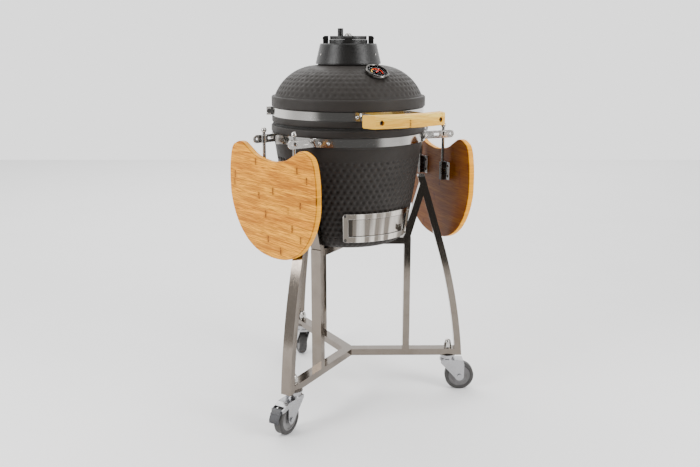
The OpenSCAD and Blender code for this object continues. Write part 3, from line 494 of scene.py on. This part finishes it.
LOOKS = {
    "tube": ["leg_front_left", "leg_front_right", "leg_back"],
    "bright": [
        "leg_top_caps", "caster_nuts", "bowl_band_bolts", "shelf_arms", "shelf_arm_bolts",
        "draft_frame_screws", "hinge_lower_bracket", "hinge_pin", "dome_band_bolts", "hinge_upper_bracket",
        "handle_brackets", "vent_screws", "vent_pivot", "cooking_grid", "draft_screen",
        "left_rods", "left_eyes", "left_clamp_screws", "right_rods", "right_eyes", "right_clamp_screws",
    ],
    "zinc": ["caster_stems", "fork_front_left", "fork_front_right", "fork_back"],
    "band": ["bowl_band", "dome_band"],
    "frame": ["draft_frame"],
    "door": ["draft_door"],
    "ceramic": ["bowl", "dome"],
    "clay": ["fire_box", "fire_ring"],
    "iron": ["charcoal_grate", "vent_chimney", "vent_disc", "vent_post"],
    "felt": ["bowl_gasket", "dome_gasket"],
    "black": ["handle_screws", "thermometer_case"],
    "clamp_left": ["left_rod_clamps"],
    "clamp_right": ["right_rod_clamps"],
    "dark_steel": ["thermometer_bezel"],
    "tyre": ["tyre_front_left", "tyre_front_right", "tyre_back"],
    "wheel": ["wheel_front_left", "wheel_front_right", "wheel_back"],
    "pedal": ["brake_front_left"],
    "needle": ["thermometer_needle"],
    "dial": ["thermometer_dial"],
    "glass": ["thermometer_lens"],
    "board_left": ["left_board"],
    "board_right": ["right_board"],
    "bar": ["handle_bar"],
}


def dress(obj, look):
    obj.data.materials.clear()
    obj.data.materials.append(MATERIALS[look])


for look, names in LOOKS.items():
    for name in names:
        dress(nodes[name], look)


# ---------------------------------------------------------------- mesh helpers


def new_object(name, verts, faces):
    """A mesh object in the scene, smooth over its quads and flat over its caps."""
    mesh = bpy.data.meshes.new(name)
    mesh.from_pydata(verts, [], faces)
    mesh.update()
    mesh.polygons.foreach_set("use_smooth", [len(p.vertices) == 4 for p in mesh.polygons])
    obj = bpy.data.objects.new(name, mesh)
    bpy.context.scene.collection.objects.link(obj)
    return obj


def smoothstep(x):
    x = np.clip(x, 0.0, 1.0)
    return x * x * (3 - 2 * x)


def rounded(centre, radius, start, end, steps=4):
    """Points of a rounded corner about its centre, from one angle to another, in degrees."""
    angles = [math.radians(start + (end - start) * k / steps) for k in range(steps + 1)]
    return [(centre[0] + radius * math.cos(a), centre[1] + radius * math.sin(a)) for a in angles]


# ---------------------------------------------------------------- ceramic shells with their dimples

DIMPLES_ROUND = 68
COLUMNS = DIMPLES_ROUND * 8
PITCH_ANGLE = 2 * math.pi / DIMPLES_ROUND
DIMPLE_ROW = 14.0
DIMPLE_R = 5.7
DIMPLE_FILL = 0.37  # a dimple's largest radius as a share of the room it has on its row
DIMPLE_SHAPE = 0.9
SHARP_ANGLE = math.radians(50)
AXIS_R = 0.5  # radius of the small cap that closes an outline on the axis


def outline_normals(rows):
    """Unit normals of a (radius, height) outline walked upwards on its outside."""
    step = np.gradient(np.array(rows), axis=0)
    step /= np.maximum(np.linalg.norm(step, axis=1, keepdims=True), 1e-9)
    return np.stack([step[:, 1], -step[:, 0]], axis=1)


def arc_lengths(rows):
    steps = np.linalg.norm(np.diff(np.array(rows), axis=0), axis=1)
    return np.concatenate([[0.0], np.cumsum(steps)])


def dimple_sink(rows, arc, depth, strength):
    """How deep each grid point is sunk, for rows of the outline at arc lengths arc, in mm."""
    angle = np.arange(COLUMNS) / COLUMNS * 2 * math.pi
    radius = np.array([r for r, _ in rows])[:, None]
    size = np.minimum(DIMPLE_R, DIMPLE_FILL * PITCH_ANGLE * radius)
    row_index = np.round(arc / DIMPLE_ROW)
    sink = np.zeros((len(rows), COLUMNS))
    for shift in (-1, 0, 1):
        row = row_index + shift
        up = (arc - row * DIMPLE_ROW)[:, None]
        offset = (row % 2)[:, None] * 0.5 * PITCH_ANGLE
        turn = (angle[None, :] - offset + PITCH_ANGLE / 2) % PITCH_ANGLE - PITCH_ANGLE / 2
        distance = np.sqrt((turn * radius) ** 2 + up**2)
        cap = np.clip(1 - (distance / size) ** 2, 0, 1)
        sink = np.maximum(sink, depth * cap**DIMPLE_SHAPE * (size / DIMPLE_R))
    return sink * np.array(strength)[:, None]


def revolve(name, rows, sink, window=None):
    """A closed shell turned about Z from an outline of (radius, height) rows in mm.

    window = (half its columns, outer rows, inner rows) leaves an opening at the front and walls it.
    """
    normal = outline_normals(rows)
    angle = np.arange(COLUMNS) / COLUMNS * 2 * math.pi - math.pi / 2
    pts = np.array(rows)
    radius = pts[:, 0][:, None] - normal[:, 0][:, None] * sink
    height = pts[:, 1][:, None] - normal[:, 1][:, None] * sink
    x = radius * np.cos(angle)[None, :]
    y = radius * np.sin(angle)[None, :]
    verts = np.stack([x, y, np.broadcast_to(height, x.shape)], axis=2).reshape(-1, 3) * MM
    count = len(rows)

    def vertex(row, column):
        return row * COLUMNS + column % COLUMNS

    def quad(low, high, column):
        """The face between two rows at one column."""
        return (vertex(low, column), vertex(low, column + 1), vertex(high, column + 1), vertex(high, column))

    opening = set()
    if window:
        half, outer, inner = window
        for a, b in (outer, inner):
            opening.update((row, column % COLUMNS) for row in range(a, b) for column in range(-half, half))
    faces = [
        quad(row, row + 1, column)
        for row in range(count - 1)
        for column in range(COLUMNS)
        if (row, column) not in opening
    ]
    if window:
        for column in range(-half, half):
            faces.append(quad(outer[0], inner[1], column))
            faces.append(quad(inner[0], outer[1], column))
        outside = list(range(outer[0], outer[1] + 1))
        inside = list(range(inner[0], inner[1] + 1))
        faces.append([vertex(row, -half) for row in outside + inside])
        faces.append([vertex(row, half) for row in inside[::-1] + outside[::-1]])
    if rows[0][0] <= AXIS_R:
        faces.append([vertex(0, column) for column in reversed(range(COLUMNS))])
        faces.append([vertex(count - 1, column) for column in range(COLUMNS)])
    else:
        faces += [quad(count - 1, 0, column) for column in range(COLUMNS)]
    obj = new_object(name, [tuple(v) for v in verts], faces)
    obj.data.set_sharp_from_angle(angle=SHARP_ANGLE)
    return obj


bowl_low, bowl_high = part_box("bowl")
BOWL_Z, RIM_Z, LIP_R = bowl_low.z / MM, bowl_high.z / MM, bowl_high.x / MM
CORNER_R, CORNER_CENTRE = 40.0, 117.0
CORNER_STEPS = 12
CORNER_END = math.radians(78)
SIDE_X = CORNER_CENTRE + CORNER_R * math.sin(CORNER_END)
SIDE_Z = BOWL_Z + CORNER_R * (1 - math.cos(CORNER_END))
SIDE_SAG = 0.8
SIDE_ROW = 2.0
SIDE_FINE_TOP = 680.0  # the rows are further apart above the dimples
SHOULDER_R, SHOULDER_Z = LIP_R - 7.5, RIM_Z - 45.0
BAND_SEAT = LIP_R - 4.6
WALL = 28.3
BASE = 28.0
WINDOW_Z = (470.0, 531.0)
WINDOW_HALF = 29.0  # degrees
BOWL_DEPTH = 3.0
DIMPLE_TOP = 675.0
PLAIN_ROWS = 12  # rows at the rim that are never dimpled


def side_radius(z):
    t = (z - SIDE_Z) / (SHOULDER_Z - SIDE_Z)
    return SIDE_X + (SHOULDER_R - SIDE_X) * t + 4 * SIDE_SAG * t * (1 - t)


def corner_radius(z):
    return CORNER_CENTRE + math.sqrt(CORNER_R**2 - (BOWL_Z + CORNER_R - z) ** 2)


def inner_radius(z):
    return side_radius(max(z, SIDE_Z)) - WALL - max(0.0, SIDE_Z + 3 - z) * 0.9


def row_at(rows, height, start=0):
    """The first row from start on that lies at a height."""
    return next(i for i, row in enumerate(rows) if i >= start and abs(row[1] - height) < 0.01)


def bowl_mesh():
    rows = [(AXIS_R, BOWL_Z), (40, BOWL_Z), (80, BOWL_Z), (104, BOWL_Z), (CORNER_CENTRE, BOWL_Z)]
    for k in range(1, CORNER_STEPS):
        a = CORNER_END * k / CORNER_STEPS
        rows.append((CORNER_CENTRE + CORNER_R * math.sin(a), BOWL_Z + CORNER_R * (1 - math.cos(a))))
    z = SIDE_Z
    while z < SIDE_FINE_TOP:
        rows.append((side_radius(z), z))
        z += SIDE_ROW
    rows = [row for row in rows if all(abs(row[1] - w) > 0.9 for w in WINDOW_Z)]
    for w in WINDOW_Z:
        radius = side_radius(w) if w > SIDE_Z else corner_radius(w)
        place = next(i for i, row in enumerate(rows) if row[1] > w)
        rows.insert(place, (radius, w))
    rows += [(side_radius(z), z) for z in (684, 690, 696)]
    rows += rounded((SHOULDER_R - 1, SHOULDER_Z - 1), 1.0, 0, 40, 2)
    rows += [(BAND_SEAT - 0.6, SHOULDER_Z + 2.2), (BAND_SEAT, SHOULDER_Z + 4)]
    rows += [(BAND_SEAT, SHOULDER_Z + 26.5)]
    rows += rounded((LIP_R - 2.5, SHOULDER_Z + 30), 2.5, -70, 0)
    rows += [(LIP_R, RIM_Z - 12)]
    rows += rounded((LIP_R - 3.5, RIM_Z - 3.5), 3.5, 0, 90, 5)
    rows += [(190, RIM_Z), (175, RIM_Z)]
    rows += rounded((170.5, RIM_Z - 2.5), 2.5, 90, 180)
    outer_count = len(rows)
    inner_heights = (720, 690, 660, 630, 600, 570, 550, WINDOW_Z[1], 510, 490, 480, WINDOW_Z[0])
    rows += [(inner_radius(z), z) for z in inner_heights]
    rows += [(radius, BOWL_Z + BASE) for radius in (112, 80, 40, AXIS_R)]

    heights = np.array([z for _, z in rows])
    strength = smoothstep((DIMPLE_TOP - heights) / 8) * smoothstep((heights - BOWL_Z - 3) / 5)
    strength[outer_count - PLAIN_ROWS:] = 0.0
    sink = dimple_sink(rows, arc_lengths(rows), BOWL_DEPTH, strength)
    outer = (row_at(rows, WINDOW_Z[0]), row_at(rows, WINDOW_Z[1]))
    inner = (row_at(rows, WINDOW_Z[1], outer_count), row_at(rows, WINDOW_Z[0], outer_count))
    sink[list(outer)] = 0.0
    half = round(WINDOW_HALF / 360 * COLUMNS)
    return revolve("bowl_dimpled", rows, sink, (half, outer, inner))


dome_low, dome_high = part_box("dome")
DOME_Z, DOME_TOP, COLLAR_R = dome_low.z / MM, dome_high.z / MM, dome_high.x / MM
DOME_LIP, DOME_SEAT, DOME_FOOT = 198.0, 193.0, 190.0
ARC_R0, ARC_Z0, ARC_R = 79.0, DOME_Z + 22.0, 119.2
ARC_END = math.radians(89)
ARC_STEPS = 96
DOME_WALL = 25.0
DOME_DEPTH = 1.5
NECK_R = 62.0
FIRST_DIMPLE = 4.0  # arc length from the start of the dome's curve back to the row it counts from


def dome_mesh():
    inner_lip = DOME_LIP - DOME_WALL
    rows = [(inner_lip, DOME_Z + 2), (inner_lip + 2, DOME_Z)]
    rows += rounded((DOME_LIP - 3, DOME_Z + 3), 3.0, -90, 0)
    rows += rounded((DOME_LIP - 2.5, DOME_Z + 12.5), 2.5, 0, 80)
    rows += [(DOME_SEAT, DOME_Z + 15.2), (DOME_SEAT, DOME_Z + 37)]
    rows += rounded((COLLAR_R - 2, DOME_Z + 41), 2.0, -80, 0)
    rows += [(COLLAR_R, DOME_Z + 50), (COLLAR_R, DOME_Z + 57)]
    rows += rounded((COLLAR_R - 5, DOME_Z + 61), 5.0, 0, 50)
    start = math.acos((DOME_FOOT - ARC_R0) / ARC_R)
    first = len(rows)
    for k in range(ARC_STEPS + 1):
        a = start + (ARC_END - start) * k / ARC_STEPS
        rows.append((ARC_R0 + ARC_R * math.cos(a), ARC_Z0 + ARC_R * math.sin(a)))
    last = len(rows)
    rows += [(ARC_R0 - 0.3, DOME_TOP - 1), (ARC_R0 - 1.5, DOME_TOP)]
    rows += [(NECK_R + 2, DOME_TOP), (NECK_R, DOME_TOP - 2)]
    inner = ARC_R - DOME_WALL
    rows += [(NECK_R, ARC_Z0 + inner)]
    for degrees in range(80, 0, -10):
        a = math.radians(degrees)
        rows.append((ARC_R0 + inner * math.cos(a), ARC_Z0 + inner * math.sin(a)))

    arc = arc_lengths(rows)
    arc = arc - arc[first] + FIRST_DIMPLE
    radii = np.array([r for r, _ in rows])[first:last]
    strength = np.zeros(len(rows))
    strength[first:last] = smoothstep((radii - 100) / 60) * smoothstep((DOME_FOOT + 0.5 - radii) / 3)
    return revolve("dome_dimpled", rows, dimple_sink(rows, arc, DOME_DEPTH, strength))


bowl_piece = bowl_mesh()
dress(bowl_piece, "ceramic")
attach(bowl_piece, "cart")
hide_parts("bowl")

dome_piece = dome_mesh()
dress(dome_piece, "ceramic")
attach(dome_piece, "lid")
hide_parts("dome")


# ---------------------------------------------------------------- bamboo boards with rounded edges

BOARD_EDGE = 3.2 * MM
EDGE_STEPS = 6
CURVE_STEPS = 4
FACE_DEPTH = 0.1 * MM  # points this near the front plane belong to the front face
OUTLINE_CENTRE = 0.17  # height above the board's lowest point of the middle its outline is ordered about


def catmull(points, steps):
    """Closed smooth curve through points."""
    n = len(points)
    out = []
    for i in range(n):
        p0, p1, p2, p3 = (points[(i + k - 1) % n] for k in range(4))
        for s in range(steps):
            t = s / steps
            square = (2 * p0 - 5 * p1 + 4 * p2 - p3) * t * t
            cube = (3 * p1 - p0 - 3 * p2 + p3) * t**3
            out.append(0.5 * ((2 * p1) + (p2 - p0) * t + square + cube))
    return np.array(out)


def board_mesh(name, node, outward, along):
    """The CAD board's outer outline, made smooth, as a slab with rounded edges."""
    co = np.array([v.co for v in nodes[node].data.vertices])
    n_hat, t_hat = np.array(outward), np.array(along)
    depth = co @ n_hat
    front, back = depth.max(), depth.min()
    flat = np.stack([co @ t_hat, co[:, 2]], axis=1)[depth > front - FACE_DEPTH]
    flat = np.unique(np.round(flat, 5), axis=0)
    middle = ((flat[:, 0].max() + flat[:, 0].min()) / 2, flat[:, 1].min() + OUTLINE_CENTRE)
    order = np.argsort(np.arctan2(flat[:, 1] - middle[1], flat[:, 0] - middle[0]))
    line = catmull(flat[order], CURVE_STEPS)
    for _ in range(2):
        line = (np.roll(line, 1, 0) + 2 * line + np.roll(line, -1, 0)) / 4
    tangent = np.roll(line, -1, 0) - np.roll(line, 1, 0)
    tangent /= np.linalg.norm(tangent, axis=1, keepdims=True)
    inward = np.stack([-tangent[:, 1], tangent[:, 0]], axis=1)
    quarter = np.linspace(0, math.pi / 2, EDGE_STEPS)
    ring = [(BOARD_EDGE * (1 - math.sin(a)), BOARD_EDGE * (1 - math.cos(a))) for a in quarter]
    thick = front - back
    profile = ring + [(inset, thick - level) for inset, level in reversed(ring)]
    verts = [
        tuple(t_hat * p[0] + n_hat * (back + level) + np.array([0, 0, p[1]]))
        for inset, level in profile
        for p in line + inward * inset
    ]
    n = len(line)
    last = (len(profile) - 1) * n
    faces = [
        (k + i, k + (i + 1) % n, k + n + (i + 1) % n, k + n + i)
        for k in range(0, last, n)
        for i in range(n)
    ]
    faces.append(tuple(reversed(range(n))))
    faces.append(tuple(last + i for i in range(n)))
    return new_object(name, verts, faces)


for side, outward, along in (("left", out_left, along_left), ("right", out_right, along_right)):
    piece = board_mesh(f"{side}_board_slab", f"{side}_board", outward, along)
    dress(piece, f"board_{side}")
    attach(piece, f"{side}_shelf")
    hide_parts(f"{side}_board")


# ---------------------------------------------------------------- camera

CAMERA_AZIMUTH = math.radians(-30.5)
CAMERA_DISTANCE = 2.1298
CAMERA_HEIGHT = 0.9614
CAMERA_PITCH = math.radians(13.56)
CAMERA_STEP = 0.0043  # to the camera's right
LENS, SENSOR, FAR = 41.75, 36.0, 100.0

sin_a, cos_a = math.sin(CAMERA_AZIMUTH), math.cos(CAMERA_AZIMUTH)
to_camera = Vector((sin_a, -cos_a, 0.0))
to_right = Vector((cos_a, sin_a, 0.0))

camera_data = bpy.data.cameras.new("camera")
camera_data.lens = LENS
camera_data.sensor_width = SENSOR
camera_data.clip_end = FAR
camera = bpy.data.objects.new("camera", camera_data)
camera.location = to_camera * CAMERA_DISTANCE + to_right * CAMERA_STEP + UP * CAMERA_HEIGHT
camera.rotation_euler = (math.pi / 2 - CAMERA_PITCH, 0.0, CAMERA_AZIMUTH)
bpy.context.scene.collection.objects.link(camera)
bpy.context.scene.camera = camera


# ---------------------------------------------------------------- floor, lights and room

FLOOR_FRONT, FLOOR_BACK, FLOOR_SIDE = 1.25, 4.4, 4.4

paper = Graph("studio_paper", roughness=0.9, specular=0.1)
paper.colour(paper.mix(paper.span(paper.noise(3.0, 3.0), 0.3, 0.7), (0.90, 0.90, 0.90), (0.915, 0.915, 0.915)))
paper.rough(paper.span(paper.noise(200.0), 0.3, 0.7, 0.85, 0.95))
corners = (
    (FLOOR_FRONT, -FLOOR_SIDE),
    (FLOOR_FRONT, FLOOR_SIDE),
    (-FLOOR_BACK, FLOOR_SIDE),
    (-FLOOR_BACK, -FLOOR_SIDE),
)
floor = new_object("floor", [to_camera * a + to_right * b for a, b in corners], [(0, 1, 2, 3)])
floor.data.materials.append(paper.mat)

AIM = Vector((0.0, 0.0, 0.6))  # the point on the grill that the lamps face
PAPER_TURN = Vector((0.0, 0.0, 6.0))  # the paper's lamp looks straight down


def softbox(name, toward, right, height, size, power, target=AIM):
    """An area light placed by its distances towards the camera and to the camera's right of the bowl axis."""
    data = bpy.data.lights.new(name, "AREA")
    data.shape = "RECTANGLE"
    data.size, data.size_y = size
    data.energy = power
    light = bpy.data.objects.new(name, data)
    light.location = to_camera * toward + to_right * right + UP * height
    facing = PAPER_TURN if target is None else light.location - target
    light.rotation_euler = facing.to_track_quat("Z", "Y").to_euler()
    bpy.context.scene.collection.objects.link(light)


softbox("overhead", 0.3, 0.3, 2.6, (1.2, 1.2), 9.0)
softbox("paper", -3.2, 0.0, 3.0, (7.0, 3.0), 150.0, target=None)
softbox("left", 1.3, -2.0, 1.55, (0.9, 1.5), 52.0)
softbox("right", 1.3, 2.0, 1.5, (0.8, 1.6), 52.0)

SWEEP = 2.3  # radiance of the lit paper behind the object
SIDES = 1.15  # radiance of the white walls at both sides
ROOM = 0.165  # radiance of the dark room on the camera's side


def studio_world():
    """White paper behind the object, white walls at its sides and a dark room behind the camera.

    Each step's first two numbers are cosines of the angle to the camera's side, the last two radiances.
    """
    world = bpy.data.worlds.new("studio")
    world.use_nodes = True
    tree = world.node_tree
    tree.nodes.clear()
    out = tree.nodes.new("ShaderNodeOutputWorld")
    background = tree.nodes.new("ShaderNodeBackground")
    coords = tree.nodes.new("ShaderNodeTexCoord")
    toward = tree.nodes.new("ShaderNodeVectorMath")
    toward.operation = "DOT_PRODUCT"
    toward.inputs[1].default_value = to_camera
    tree.links.new(coords.outputs["Generated"], toward.inputs[0])
    total = tree.nodes.new("ShaderNodeMath")
    steps = ((0.76, 0.52, ROOM, SIDES), (0.1, -0.5, 0.0, SWEEP - SIDES))
    for slot, values in enumerate(steps):
        level = tree.nodes.new("ShaderNodeMapRange")
        level.interpolation_type = "SMOOTHSTEP"
        for index, value in enumerate(values, start=1):
            level.inputs[index].default_value = value
        tree.links.new(toward.outputs["Value"], level.inputs[0])
        tree.links.new(level.outputs[0], total.inputs[slot])
    tree.links.new(total.outputs[0], background.inputs[1])
    tree.links.new(background.outputs[0], out.inputs[0])
    return world


bpy.context.scene.world = studio_world()
